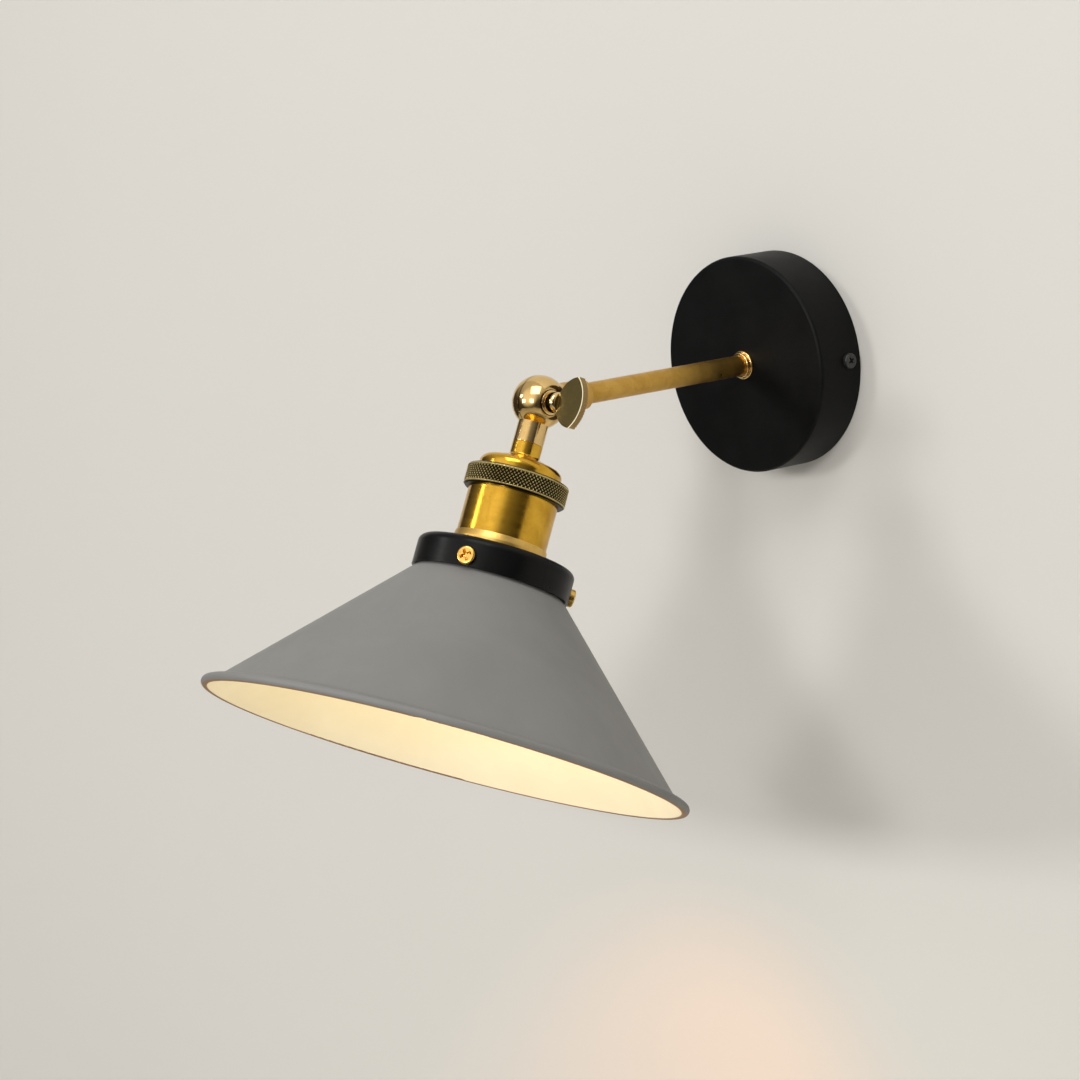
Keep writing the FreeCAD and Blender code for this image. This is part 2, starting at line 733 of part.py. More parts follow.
def make_centre_contact():
    """The sprung contact strip under the bulb, folded back over its own foot."""
    half = CONTACT_LENGTH / 2
    thick = CONTACT_THICKNESS
    base = core_base_end
    rise = base + thick + CONTACT_GAP
    outline = [
        (-half, base),
        (half, base),
        (half, rise + thick),
        (-half / 2, rise + thick),
        (-half / 2, rise),
        (half - thick, rise),
        (half - thick, base + thick),
        (-half, base + thick),
    ]
    face = closed_face(outline, lambda x, station: Vector(x, -CONTACT_WIDTH / 2, station))
    return on_head(face.extrude(Y_AXIS * CONTACT_WIDTH))


# --- gallery ---
def make_shade_gallery():
    """The black cup over the shade's neck, clamped on the lampholder, with three screw holes."""
    inner = gallery_radius - GALLERY_WALL
    end = gallery_top + GALLERY_HEIGHT
    cup = turned(
        (ring_bore, gallery_top),
        (gallery_radius, gallery_top, GALLERY_EDGE_RADIUS),
        (gallery_radius, end),
        (inner, end),
        (inner, gallery_under, GALLERY_EDGE_RADIUS / 2),
        (ring_bore, gallery_under),
    )
    hole = across(rod(GALLERY_SCREW_DIAMETER / 2 + SCREW_FIT, inner / 2, gallery_radius + 1))
    hole.translate(Z_AXIS * gallery_screw_station)
    return on_head(cup.cut(around_axis(hole, GALLERY_SCREWS, GALLERY_SCREW_FIRST)))


def make_gallery_screws():
    """The brass pan-head screws that grip the shade's neck under its lip."""
    length = gallery_radius - neck_radius - SCREW_TIP_GAP
    screw = pan_head_screw(
        GALLERY_SCREW_DIAMETER / 2,
        GALLERY_SCREW_HEAD / 2,
        GALLERY_SCREW_HEAD_HEIGHT,
        length,
    )
    screw.translate(Z_AXIS * gallery_radius)
    screw = across(screw)
    screw.translate(Z_AXIS * gallery_screw_station)
    return on_head(Part.makeCompound(around_axis(screw, GALLERY_SCREWS, GALLERY_SCREW_FIRST)))


# --- shade ---
def make_shade():
    """The spun shade: a lipped neck, a straight cone and an outward-rolled rim."""
    wall = SHADE_WALL
    bead = SHADE_BEAD_DIAMETER / 2
    cone_start = shade_top + SHADE_NECK_HEIGHT
    bead_radius = SHADE_DIAMETER / 2 - bead
    bead_station = shade_mouth - bead
    run = math.hypot(bead_radius - neck_radius, bead_station - cone_start)
    aim = math.atan2(bead_radius - neck_radius, bead_station - cone_start)
    slope = aim - math.asin((bead - wall) / run)
    along = (math.sin(slope), math.cos(slope))
    outward = (math.cos(slope), -math.sin(slope))

    def from_bead(out, forward):
        radius = bead_radius + outward[0] * out + along[0] * forward
        station = bead_station + outward[1] * out + along[1] * forward
        return radius, station

    meet = math.sqrt(bead ** 2 - (bead - wall) ** 2)
    turn = math.sqrt(0.5) * bead
    shell = turned(
        (neck_radius - wall, shade_top),
        (neck_radius + SHADE_LIP, shade_top),
        (neck_radius + SHADE_LIP, shade_top + SHADE_LIP_HEIGHT),
        (neck_radius, shade_top + SHADE_LIP_HEIGHT),
        (neck_radius, cone_start),
        from_bead(wall - bead, -meet),
        [from_bead(turn * 0.5, -math.sqrt(bead ** 2 - (turn * 0.5) ** 2)), from_bead(bead, 0)],
        [from_bead(0, bead), from_bead(-bead, 0)],
        (neck_radius - wall, cone_start + wall * math.tan(slope / 2)),
    )
    return on_head(shell)


# --- bulb ---
def make_bulb_tip():
    """The solder contact at the bulb's foot."""
    return on_head(turned(
        (0, bulb_base),
        (BULB_TIP_DIAMETER / 2, bulb_base, BULB_TIP_HEIGHT / 2),
        (BULB_TIP_DIAMETER / 2, bulb_base + BULB_TIP_HEIGHT),
        (0, bulb_base + BULB_TIP_HEIGHT),
    ))


def make_bulb_cap():
    """The bulb's metal screw cap with its black insulator cone."""
    foot = bulb_base + BULB_TIP_HEIGHT
    inner = bulb_cap_radius - BULB_CAP_WALL
    return on_head(turned(
        (0, foot),
        (BULB_TIP_DIAMETER / 2, foot),
        (bulb_cap_radius - BULB_CAP_EDGE_RADIUS, bulb_cap_start - BULB_CAP_EDGE_RADIUS),
        (bulb_cap_radius, bulb_cap_start, BULB_CAP_EDGE_RADIUS),
        (bulb_cap_radius, bulb_cap_end),
        (inner, bulb_cap_end),
        (inner, bulb_cap_start),
        (BULB_TIP_DIAMETER / 2, foot + BULB_INSULATOR_WALL),
        (0, foot + BULB_INSULATOR_WALL),
    ))


def make_bulb_collar():
    """The white flared collar between the cap and the globe."""
    return on_head(turned(
        (0, bulb_cap_end),
        (bulb_cap_radius, bulb_cap_end, BULB_CAP_EDGE_RADIUS),
        (BULB_COLLAR_DIAMETER / 2, bulb_collar_end),
        (0, bulb_collar_end),
    ))


def make_bulb_globe():
    """The opal globe: a thin sphere whose neck widens from the collar."""

    def neck_and_sphere(rim, radius):
        reach = math.hypot(rim, globe_centre - bulb_collar_end)
        turn = math.atan2(rim, bulb_collar_end - globe_centre) - math.acos(radius / reach)
        spots = [
            (radius * math.sin(angle), globe_centre + radius * math.cos(angle))
            for angle in (turn, turn / 2, 0)
        ]
        return (rim, bulb_collar_end), *spots

    rim = BULB_COLLAR_DIAMETER / 2
    edge, touch, side, top = neck_and_sphere(rim, globe_radius)
    inner_edge, inner_touch, inner_side, inner_top = neck_and_sphere(
        rim - BULB_GLOBE_WALL,
        globe_radius - BULB_GLOBE_WALL,
    )
    return on_head(turned(
        edge,
        touch,
        [side, top],
        inner_top,
        [inner_side, inner_touch],
        inner_edge,
    ))


MAKERS = {
    "wall_bracket": make_wall_bracket,
    "earth_screw": make_earth_screw,
    "terminal_block": make_terminal_block,
    "terminal_screws": make_terminal_screws,
    "canopy": make_canopy,
    "canopy_screws": make_canopy_screws,
    "arm_collar": make_arm_collar,
    "arm_tube": make_arm_tube,
    "lock_washer": make_lock_washer,
    "arm_lock_nut": make_arm_lock_nut,
    "knuckle_arm_half": make_knuckle_arm_half,
    "knuckle_head_half": make_knuckle_head_half,
    "thumb_washer": make_thumb_washer,
    "thumb_screw": make_thumb_screw,
    "head_nipple": make_head_nipple,
    "holder_cap": make_holder_cap,
    "knurled_collar": make_knurled_collar,
    "holder_body": make_holder_body,
    "upper_shade_ring": make_upper_shade_ring,
    "lower_shade_ring": make_lower_shade_ring,
    "holder_core": make_holder_core,
    "thread_shell": make_thread_shell,
    "centre_contact": make_centre_contact,
    "shade_gallery": make_shade_gallery,
    "gallery_screws": make_gallery_screws,
    "shade": make_shade,
    "bulb_tip": make_bulb_tip,
    "bulb_cap": make_bulb_cap,
    "bulb_collar": make_bulb_collar,
    "bulb_globe": make_bulb_globe,
}

os.makedirs("parts", exist_ok=True)
for node, maker in MAKERS.items():
    shape = maker()
    shape.exportStep("parts/" + node + ".step")
    print(node, "solids", len(shape.Solids), "valid", shape.isValid(), "volume", round(shape.Volume, 1))
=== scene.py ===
import json
import math
import bmesh
import bpy
from mathutils import Matrix, Vector

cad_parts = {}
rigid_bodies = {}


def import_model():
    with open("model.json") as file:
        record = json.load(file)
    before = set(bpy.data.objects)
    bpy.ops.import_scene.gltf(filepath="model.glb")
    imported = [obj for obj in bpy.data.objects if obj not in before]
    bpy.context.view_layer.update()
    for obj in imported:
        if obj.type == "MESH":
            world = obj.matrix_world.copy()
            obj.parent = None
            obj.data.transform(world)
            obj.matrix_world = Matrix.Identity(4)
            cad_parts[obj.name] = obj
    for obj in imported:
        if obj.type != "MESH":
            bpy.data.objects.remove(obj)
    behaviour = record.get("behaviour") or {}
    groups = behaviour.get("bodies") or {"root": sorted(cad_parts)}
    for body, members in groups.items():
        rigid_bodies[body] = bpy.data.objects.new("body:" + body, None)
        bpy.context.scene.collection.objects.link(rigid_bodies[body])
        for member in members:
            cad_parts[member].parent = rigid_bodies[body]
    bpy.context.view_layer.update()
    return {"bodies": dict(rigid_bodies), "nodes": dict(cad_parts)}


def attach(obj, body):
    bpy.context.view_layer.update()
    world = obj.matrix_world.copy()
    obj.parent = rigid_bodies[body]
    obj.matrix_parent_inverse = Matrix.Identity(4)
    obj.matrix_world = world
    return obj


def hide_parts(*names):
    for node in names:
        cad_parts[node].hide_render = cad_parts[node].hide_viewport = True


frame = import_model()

solid = frame["nodes"]
body = frame["bodies"]


# --- camera ---
# The lamp is seen from its right, a little from above, with a long lens. The
# camera leans slightly, so the upright wall cup looks turned against the picture.
lens_across = 36.0
lens_length = 116.67
camera_place = (1.1605, -1.1355, 0.1574)


def new_piece(name, data):
    """A mesh, lamp or camera set out in the scene."""
    piece = bpy.data.objects.new(name, data)
    bpy.context.scene.collection.objects.link(piece)
    return piece


look = Vector((-0.7568, 0.6381, -0.1417)).normalized()
sideways = Vector((0.6519, 0.7525, -0.0934))
sideways = (sideways - look * sideways.dot(look)).normalized()
upwards = sideways.cross(look)
camera_data = bpy.data.cameras.new("reading_lamp_camera")
camera_data.sensor_width = lens_across
camera_data.lens = lens_length
camera_data.clip_start = 0.05
camera_data.clip_end = 50.0
camera = new_piece("reading_lamp_camera", camera_data)
bpy.context.scene.camera = camera
camera_turn = Matrix((sideways, upwards, -look)).transposed()
camera.matrix_world = Matrix.Translation(camera_place) @ camera_turn.to_4x4()


# --- bedroom wall and floor ---
# The lamp hangs on a plain painted wall over a pale floor. Neither is part of the
# lamp. From behind the paint vanishes, and a round hole shows the cup's open back.
wall_colour = (0.7, 0.684, 0.643, 1)
wall_shade_colour = (0.68, 0.662, 0.62, 1)
wall_reach = 2.2
wall_face = 0.0002
floor_level = -1.1
floor_depth = 2 * wall_reach
hole_radius = 0.0465
hole_sides = 72
patches_per_metre = 3.0
roller_marks_per_metre = 420.0
tiny = 1e-9


def feed(tree, socket, value):
    """Links an output to an input socket, or sets the socket's value."""
    if isinstance(value, bpy.types.NodeSocket):
        tree.links.new(value, socket)
    else:
        socket.default_value = value


def add_node(tree, kind, feeds=None, **settings):
    """One node, with its settings and with values or links on its inputs."""
    made = tree.nodes.new(kind)
    for name, value in settings.items():
        setattr(made, name, value)
    for name, value in (feeds or {}).items():
        feed(tree, made.inputs[name], value)
    return made


def noise(tree, position, scale, detail=2.0, **more):
    """A cloudy value from 0 to 1 at a position."""
    feeds = {"Vector": position, "Scale": scale, "Detail": detail, **more}
    return add_node(tree, "ShaderNodeTexNoise", feeds).outputs["Fac"]


def mix_colours(tree, factor, first, second):
    """A colour between two, the factor and either colour given as values or links."""
    feeds = {"Factor": factor, "A": first, "B": second}
    return add_node(tree, "ShaderNodeMix", feeds, data_type="RGBA").outputs["Result"]


def mix_shaders(tree, factor, first, second):
    """A surface or a light between two."""
    feeds = {"Fac": factor, 1: first, 2: second}
    return add_node(tree, "ShaderNodeMixShader", feeds).outputs["Shader"]


def add_relief(tree, shader, height, strength, distance):
    """Raises a surface by a height value."""
    feeds = {"Height": height, "Strength": strength, "Distance": distance}
    relief = add_node(tree, "ShaderNodeBump", feeds)
    tree.links.new(relief.outputs["Normal"], shader.inputs["Normal"])


def new_surface(name, **even_values):
    """A material and its Principled shader, with the values that are the same all over."""
    material = bpy.data.materials.new(name)
    material.use_nodes = True
    shader = material.node_tree.nodes["Principled BSDF"]
    for socket, value in even_values.items():
        shader.inputs[socket.replace("_", " ")].default_value = value
    return material, material.node_tree, shader


def painted_plaster(name):
    """Emulsion paint on plaster: faint roller texture, seen from its front only."""
    material, tree, shader = new_surface(name, Roughness=0.85)
    position = add_node(tree, "ShaderNodeTexCoord").outputs["Object"]
    patches = noise(tree, position, patches_per_metre)
    paint = mix_colours(tree, patches, wall_colour, wall_shade_colour)
    feed(tree, shader.inputs["Base Color"], paint)
    roller = noise(tree, position, roller_marks_per_metre, detail=3.0)
    add_relief(tree, shader, roller, strength=0.12, distance=0.0005)
    from_behind = add_node(tree, "ShaderNodeNewGeometry").outputs["Backfacing"]
    clear = add_node(tree, "ShaderNodeBsdfTransparent").outputs["BSDF"]
    surface = mix_shaders(tree, from_behind, shader.outputs["BSDF"], clear)
    feed(tree, tree.nodes["Material Output"].inputs["Surface"], surface)
    return material


def sheet_of_faces(name, corners, faces, paint):
    """A flat painted piece of the stage."""
    mesh = bpy.data.meshes.new(name)
    mesh.from_pydata(corners, [], faces)
    mesh.materials.append(paint)
    piece = new_piece(name, mesh)


hole_turns = [math.tau * k / hole_sides for k in range(hole_sides)]
corner_turns = [
    math.atan2(z, x) % math.tau
    for x in (-wall_reach, wall_reach)
    for z in (floor_level, wall_reach)
]
wall_turns = sorted(set(round(turn, 9) for turn in hole_turns + corner_turns))
hole_points = []
outer_points = []
for turn in wall_turns:
    across, up = math.cos(turn), math.sin(turn)
    to_side = wall_reach / max(abs(across), tiny)
    to_end = (wall_reach if up > 0 else -floor_level) / max(abs(up), tiny)
    reach = min(to_side, to_end)
    hole_points.append((hole_radius * across, wall_face, hole_radius * up))
    outer_points.append((reach * across, wall_face, reach * up))
turns = len(wall_turns)
sheet_of_faces(
    "bedroom_wall",
    hole_points + outer_points,
    [(k, turns + k, turns + (k + 1) % turns, (k + 1) % turns) for k in range(turns)],
    painted_plaster("wall_paint"),
)
sheet_of_faces(
    "bedroom_floor",
    [
        (-wall_reach, -floor_depth, floor_level),
        (wall_reach, -floor_depth, floor_level),
        (wall_reach, wall_face, floor_level),
        (-wall_reach, wall_face, floor_level),
    ],
    [(0, 1, 2, 3)],
    painted_plaster("floor_paint"),
)


# --- room light ---
# A pale room lights the lamp evenly, and polished metal mirrors its ceiling, front
# and dim depth. Two window-like panels stand in front of the wall, a broad one
# hangs over it, and a small high one only adds glints.
room_colour = (1.0, 0.988, 0.972, 1)
room_level = 0.53
pale_room = (0.93, 0.92, 0.9, 1)
room_depth_tone = (0.045, 0.04, 0.035, 1)
ceiling_tone = (0.62, 0.6, 0.57, 1)
ceiling_span = (0.15, 0.95)
room_front = (0.0, -0.87, 0.49)
room_front_tone = (1.1, 1.05, 0.99, 1)
room_front_span = (0.72, 0.98)
arm_length = 0.15
ball_centre = (0, -arm_length, 0)
below_ball = (0, -arm_length, -0.06)
window_size = 0.34


def between(tree, value, low, high, new_low=0.0, new_high=1.0, **settings):
    """A value stretched from one range to another, held at its ends."""
    feeds = {
        "Value": value,
        "From Min": low,
        "From Max": high,
        "To Min": new_low,
        "To Max": new_high,
    }
    return add_node(tree, "ShaderNodeMapRange", feeds, **settings).outputs["Result"]


def math_node(tree, operation, first, second=0.0):
    """A number worked out from one or two others."""
    feeds = {0: first, 1: second}
    return add_node(tree, "ShaderNodeMath", feeds, operation=operation).outputs[0]


def vector_node(tree, operation, feeds, result="Vector"):
    """A vector, or the number asked for, worked out from vectors."""
    return add_node(tree, "ShaderNodeVectorMath", feeds, operation=operation).outputs[result]


def dot_product(tree, first, second):
    """How far one vector reaches along another."""
    return vector_node(tree, "DOT_PRODUCT", {0: first, 1: second}, "Value")


def even_light(colour, strength=1.0):
    """Light of one colour and strength from all round the room."""
    feeds = {"Color": colour, "Strength": strength}
    return add_node(room_tree, "ShaderNodeBackground", feeds).outputs["Background"]


room = bpy.data.worlds.new("pale_room")
bpy.context.scene.world = room
room.use_nodes = True
room_tree = room.node_tree
room_tree.nodes.clear()
direction = add_node(room_tree, "ShaderNodeTexCoord").outputs["Generated"]
rise = add_node(room_tree, "ShaderNodeSeparateXYZ", {"Vector": direction}).outputs["Z"]
ceiling_share = between(room_tree, rise, *ceiling_span, interpolation_type="SMOOTHSTEP")
mirrored = mix_colours(room_tree, ceiling_share, room_depth_tone, ceiling_tone)
frontness = dot_product(room_tree, direction, room_front)
front_share = between(room_tree, frontness, *room_front_span, interpolation_type="SMOOTHSTEP")
mirrored = mix_colours(room_tree, front_share, mirrored, room_front_tone)
ray = add_node(room_tree, "ShaderNodeLightPath").outputs
seen_straight = math_node(room_tree, "MAXIMUM", ray["Is Camera Ray"], ray["Is Transmission Ray"])
room_light = mix_shaders(
    room_tree, ray["Is Glossy Ray"], even_light(room_colour, room_level), even_light(mirrored)
)
room_light = mix_shaders(room_tree, seen_straight, room_light, even_light(pale_room))
add_node(room_tree, "ShaderNodeOutputWorld", {"Surface": room_light})
bpy.context.scene.view_settings.view_transform = "Standard"


def light_panel(name, place, target, size, watts, colour):
    """A soft square lamp panel that faces a point."""
    data = bpy.data.lights.new(name, "AREA")
    data.size = size
    data.energy = watts
    data.color = colour
    panel = new_piece(name, data)
    panel.location = place
    panel.rotation_mode = "QUATERNION"
    panel.rotation_quaternion = (Vector(target) - Vector(place)).to_track_quat("-Z", "Y")
    return panel


light_panel(
    "right_window",
    place=(0.61, -2.09, 0.5),
    target=ball_centre,
    size=window_size,
    watts=10.4,
    colour=(1.0, 0.985, 0.965),
)
light_panel(
    "left_window",
    place=(-0.72, -2.09, 0.42),
    target=ball_centre,
    size=window_size,
    watts=9.6,
    colour=(1.0, 0.99, 0.975),
)
light_panel(
    "ceiling_panel",
    place=(0.5, -0.97, 1.7),
    target=ball_centre,
    size=1.2,
    watts=14.4,
    colour=(1.0, 0.988, 0.97),
)
glint = light_panel(
    "high_left_window",
    place=(-1.1, -1.49, 0.83),
    target=below_ball,
    size=0.26,
    watts=2.6,
    colour=(1.0, 0.99, 0.975),
)
glint.visible_diffuse = False


# --- wall bracket and earth screw ---
# The bracket is a strap of zinc-plated steel with two turned-up tabs. It is
# screwed to the wall through its slots, and a brass screw takes the earth wire.
head_direction = (0, -0.45399, -0.89101)
lathe_axis = {
    "wall": ((0, 0, 0), (0, 1, 0)),
    "knuckle": (ball_centre, (1, 0, 0)),
    "head": (ball_centre, head_direction),
}
number = "NodeSocketFloat"
vector = "NodeSocketVector"


def new_group(name, inputs, outputs):
    """An empty node group with named sockets, and its two end nodes."""
    group = bpy.data.node_groups.new(name, "ShaderNodeTree")
    for label, kind in inputs.items():
        group.interface.new_socket(name=label, in_out="INPUT", socket_type=kind)
    for label, kind in outputs.items():
        group.interface.new_socket(name=label, in_out="OUTPUT", socket_type=kind)
    given = add_node(group, "NodeGroupInput").outputs
    return group, given, add_node(group, "NodeGroupOutput").inputs


def use_group(tree, group, **feeds):
    """One use of a node group, its inputs written with underscores."""
    inputs = {name.replace("_", " "): value for name, value in feeds.items()}
    return add_node(tree, "ShaderNodeGroup", inputs, node_tree=group).outputs


# how far a point is along a turned piece and away from its axis
lathe_place, given, out = new_group(
    "lathe_place",
    {"Position": vector, "Centre": vector, "Axis": vector},
    {"Station": number, "Radius": number},
)
from_centre = vector_node(lathe_place, "SUBTRACT", {0: given["Position"], 1: given["Centre"]})
across = vector_node(lathe_place, "CROSS_PRODUCT", {0: from_centre, 1: given["Axis"]})
feed(lathe_place, out["Station"], dot_product(lathe_place, from_centre, given["Axis"]))
feed(lathe_place, out["Radius"], vector_node(lathe_place, "LENGTH", {0: across}, "Value"))

# the fine rings that a lathe tool or a polishing wheel leaves round a piece, and
# broader bands of tone, with the radius added in so that flat faces show them too
turning_rings, given, out = new_group(
    "turning_rings",
    {"Station": number, "Radius": number, "Rings per Metre": number},
    {"Height": number, "Tone": number},
)
radius_share = 1.37
bands_per_ring = 0.13
spread = math_node(turning_rings, "MULTIPLY", given["Radius"], radius_share)
spread = math_node(turning_rings, "ADD", given["Station"], spread)
count = math_node(turning_rings, "MULTIPLY", spread, given["Rings per Metre"])
band_count = math_node(turning_rings, "MULTIPLY", count, bands_per_ring)
for result, ring_count, detail in (("Height", count, 2.0), ("Tone", band_count, 1.0)):
    feeds = {"W": ring_count, "Scale": 1.0, "Detail": detail}
    rings = add_node(turning_rings, "ShaderNodeTexNoise", feeds, noise_dimensions="1D")
    feed(turning_rings, out[result], rings.outputs["Fac"])

# cloudy patches and small specks where a surface has been handled and has aged
handling_marks, given, out = new_group(
    "handling_marks",
    {"Position": vector, "Patch Size": number, "Speck Size": number},
    {"Patches": number, "Specks": number},
)
speck_span = (0.62, 0.74)
patch_scale = math_node(handling_marks, "DIVIDE", 1.0, given["Patch Size"])
patches = noise(
    handling_marks, given["Position"], patch_scale, detail=4.0, Roughness=0.6, Distortion=0.4
)
speck_scale = math_node(handling_marks, "DIVIDE", 1.0, given["Speck Size"])
specks = noise(handling_marks, given["Position"], speck_scale)
feed(handling_marks, out["Patches"], patches)
feed(handling_marks, out["Specks"], between(handling_marks, specks, *speck_span))


def surface_marks(tree, patch_size, speck_size):
    """The position on a surface, and the patches and specks there."""
    position = add_node(tree, "ShaderNodeTexCoord").outputs["Object"]
    marks = use_group(
        tree, handling_marks, Position=position, Patch_Size=patch_size, Speck_Size=speck_size
    )
    return position, marks["Patches"], marks["Specks"]


def lathe_at(tree, position, axis):
    """The station and the radius of a position on one of the turning axes."""
    centre, direction = lathe_axis[axis]
    place = use_group(tree, lathe_place, Position=position, Centre=centre, Axis=direction)
    return place["Station"], place["Radius"]


def turned_metal(name, axis, bright, dull, smooth, rough, rings, ring_depth, patch_size=0.012):
    """Metal that was turned or spun: fine rings, cloudy ageing and specks of tarnish."""
    speck_darkness, most_specks = 0.45, 0.35
    material, tree, shader = new_surface(name, Metallic=1.0)
    position, patches, specks = surface_marks(tree, patch_size, speck_size=0.0007)
    station, radius = lathe_at(tree, position, axis)
    ring = use_group(tree, turning_rings, Station=station, Radius=radius, Rings_per_Metre=rings)
    colour = mix_colours(tree, between(tree, patches, 0.38, 0.72), bright, dull)
    speck_colour = tuple(channel * speck_darkness for channel in dull[:3]) + (1,)
    speck_share = math_node(tree, "MULTIPLY", specks, most_specks)
    colour = mix_colours(tree, speck_share, colour, speck_colour)
    feed(tree, shader.inputs["Base Color"], colour)
    roughness = between(tree, patches, 0.35, 0.75, smooth, rough)
    ring_tone = between(tree, ring["Tone"], 0.3, 0.7, -0.03, 0.04)
    feed(tree, shader.inputs["Roughness"], math_node(tree, "ADD", roughness, ring_tone))
    add_relief(tree, shader, ring["Height"], strength=0.5, distance=ring_depth)
    return material


def dress(name, material):
    """Gives a carried-over solid its material."""
    piece = solid[name]
    piece.data.materials.clear()
    piece.data.materials.append(material)


zinc = turned_metal(
    "zinc_plate",
    "wall",
    bright=(0.66, 0.68, 0.7, 1),
    dull=(0.5, 0.51, 0.5, 1),
    smooth=0.3,
    rough=0.46,
    rings=2600,
    ring_depth=0.00002,
    patch_size=0.004,
)
dress("wall_bracket", zinc)
earth_brass = turned_metal(
    "earth_screw_brass",
    "wall",
    bright=(0.76, 0.56, 0.25, 1),
    dull=(0.6, 0.42, 0.18, 1),
    smooth=0.2,
    rough=0.34,
    rings=5200,
    ring_depth=0.00002,
)
dress("earth_screw", earth_brass)


# --- terminal block ---
# The wires meet in a three-pole block of moulded ivory nylon with steel clamp
# screws sunk in its wells. It is fixed on the strap, inside the cup.
def moulded_surface(name, colour, second_colour, roughness, grain, grain_depth, **even_values):
    """Moulded or fired material: faint mottling and a fine even grain."""
    material, tree, shader = new_surface(name, **even_values)
    position, patches, _ = surface_marks(tree, patch_size=0.006, speck_size=0.0009)
    mottle = between(tree, patches, 0.3, 0.7)
    feed(tree, shader.inputs["Base Color"], mix_colours(tree, mottle, colour, second_colour))
    shine = between(tree, patches, 0.3, 0.7, roughness - 0.05, roughness + 0.07)
    feed(tree, shader.inputs["Roughness"], shine)
    skin = noise(tree, position, grain, detail=3.0)
    add_relief(tree, shader, skin, strength=0.6, distance=grain_depth)
    return material


ivory_nylon = moulded_surface(
    "ivory_nylon",
    colour=(0.8, 0.77, 0.67, 1),
    second_colour=(0.74, 0.7, 0.59, 1),
    roughness=0.5,
    grain=900,
    grain_depth=0.00004,
)
dress("terminal_block", ivory_nylon)
dress("terminal_screws", zinc)


# --- wall cup ---
# The round cup is spun from sheet steel and powder coated matte black. Its rim
# edge is rolled small, and it hides the bracket, block and wires.
def powder_coat(name, colour, worn_colour, roughness, grain, grain_depth, gloss):
    """Powder coat: a fine pebbled skin with dusty, slightly paler patches."""
    dust_paleness, most_dust = 2.4, 0.25
    material, tree, shader = new_surface(name, Specular_IOR_Level=gloss)
    position, patches, specks = surface_marks(tree, patch_size=0.02, speck_size=0.0011)
    coat = mix_colours(tree, between(tree, patches, 0.4, 0.8), colour, worn_colour)
    dust_colour = tuple(channel * dust_paleness for channel in worn_colour[:3]) + (1,)
    dust_share = math_node(tree, "MULTIPLY", specks, most_dust)
    feed(tree, shader.inputs["Base Color"], mix_colours(tree, dust_share, coat, dust_colour))
    shine = between(tree, patches, 0.3, 0.8, roughness - 0.04, roughness + 0.08)
    feed(tree, shader.inputs["Roughness"], shine)
    pebbles = noise(tree, position, grain, Roughness=0.55)
    add_relief(tree, shader, pebbles, strength=0.55, distance=grain_depth)
    return material


cup_coat = powder_coat(
    "cup_powder_coat",
    colour=(0.003, 0.0031, 0.0032, 1),
    worn_colour=(0.0046, 0.0046, 0.0047, 1),
    roughness=0.46,
    grain=1500,
    grain_depth=0.00009,
    gloss=0.11,
)
dress("canopy", cup_coat)


# --- cup side screws ---
# Two pan-head screws with cross recesses hold the cup to the strap's tabs, one
# each side. They are steel, blackened to match the cup.
screw_sides = 48
side_screw_seat = 0.05
side_screw_from_wall = 0.0075
side_screw_rolls = {1: 31, -1: 12}


def turned_mesh(bm, outline, sides):
    """Turns an outline of (radius, height) round Z into closed faces."""
    angles = [math.tau * k / sides for k in range(sides)]
    rings = []
    for radius, rise in outline:
        points = [(radius * math.cos(angle), radius * math.sin(angle), rise) for angle in angles]
        if radius < tiny:
            points = [(0, 0, rise)]
        rings.append([bm.verts.new(point) for point in points])
    for lower, upper in zip(rings, rings[1:]):
        for k in range(sides):
            after = (k + 1) % sides
            if len(lower) == 1:
                bm.faces.new((lower[0], upper[after], upper[k]))
            elif len(upper) == 1:
                bm.faces.new((lower[k], lower[after], upper[0]))
            else:
                bm.faces.new((lower[k], lower[after], upper[after], upper[k]))


def finished_mesh(bm, name):
    """The mesh that was being built, under its name."""
    mesh = bpy.data.meshes.new(name)
    bm.to_mesh(mesh)
    bm.free()
    return mesh


